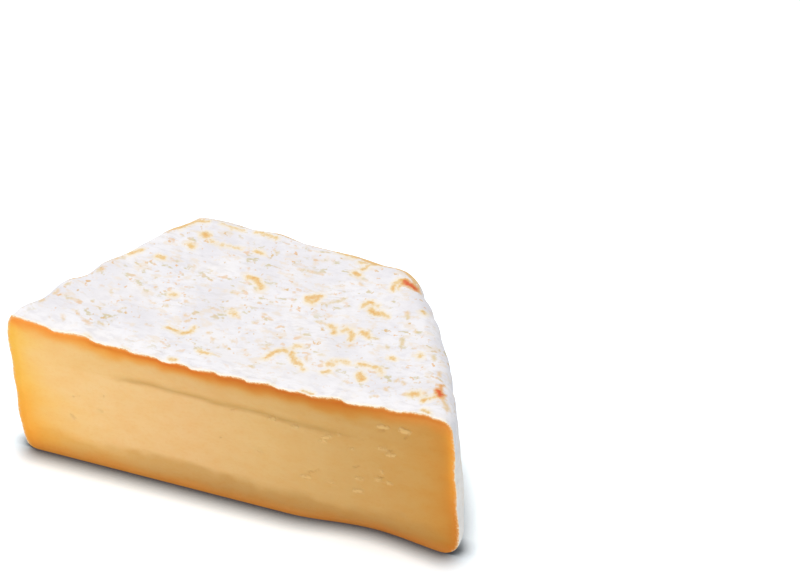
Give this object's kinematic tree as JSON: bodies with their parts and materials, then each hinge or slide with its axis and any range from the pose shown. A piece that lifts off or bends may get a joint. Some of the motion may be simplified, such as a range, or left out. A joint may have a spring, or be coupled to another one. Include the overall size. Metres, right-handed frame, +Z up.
{
  "type": "half of a soft cheese",
  "caption": "Half of a hexagonal soft ripened cheese with a white-bloomed washed rind, cut from corner to corner, lying on its flat underside.",
  "frame": {"origin": "on the surface that the cheese lies on, under the middle of its bounding box", "axes": "+X along the cut towards the end where the foot of the cut draws back, +Y from the cut face towards the back wall, +Z up"},
  "size_m": [0.1538, 0.0702, 0.0572],
  "materials": {
    "rind": "white bloom over an ochre rind, with a pale yellow paste on the cut face"
  },
  "bodies": {
    "root": {"cheese_half": "rind"}
  },
  "joints": []
}
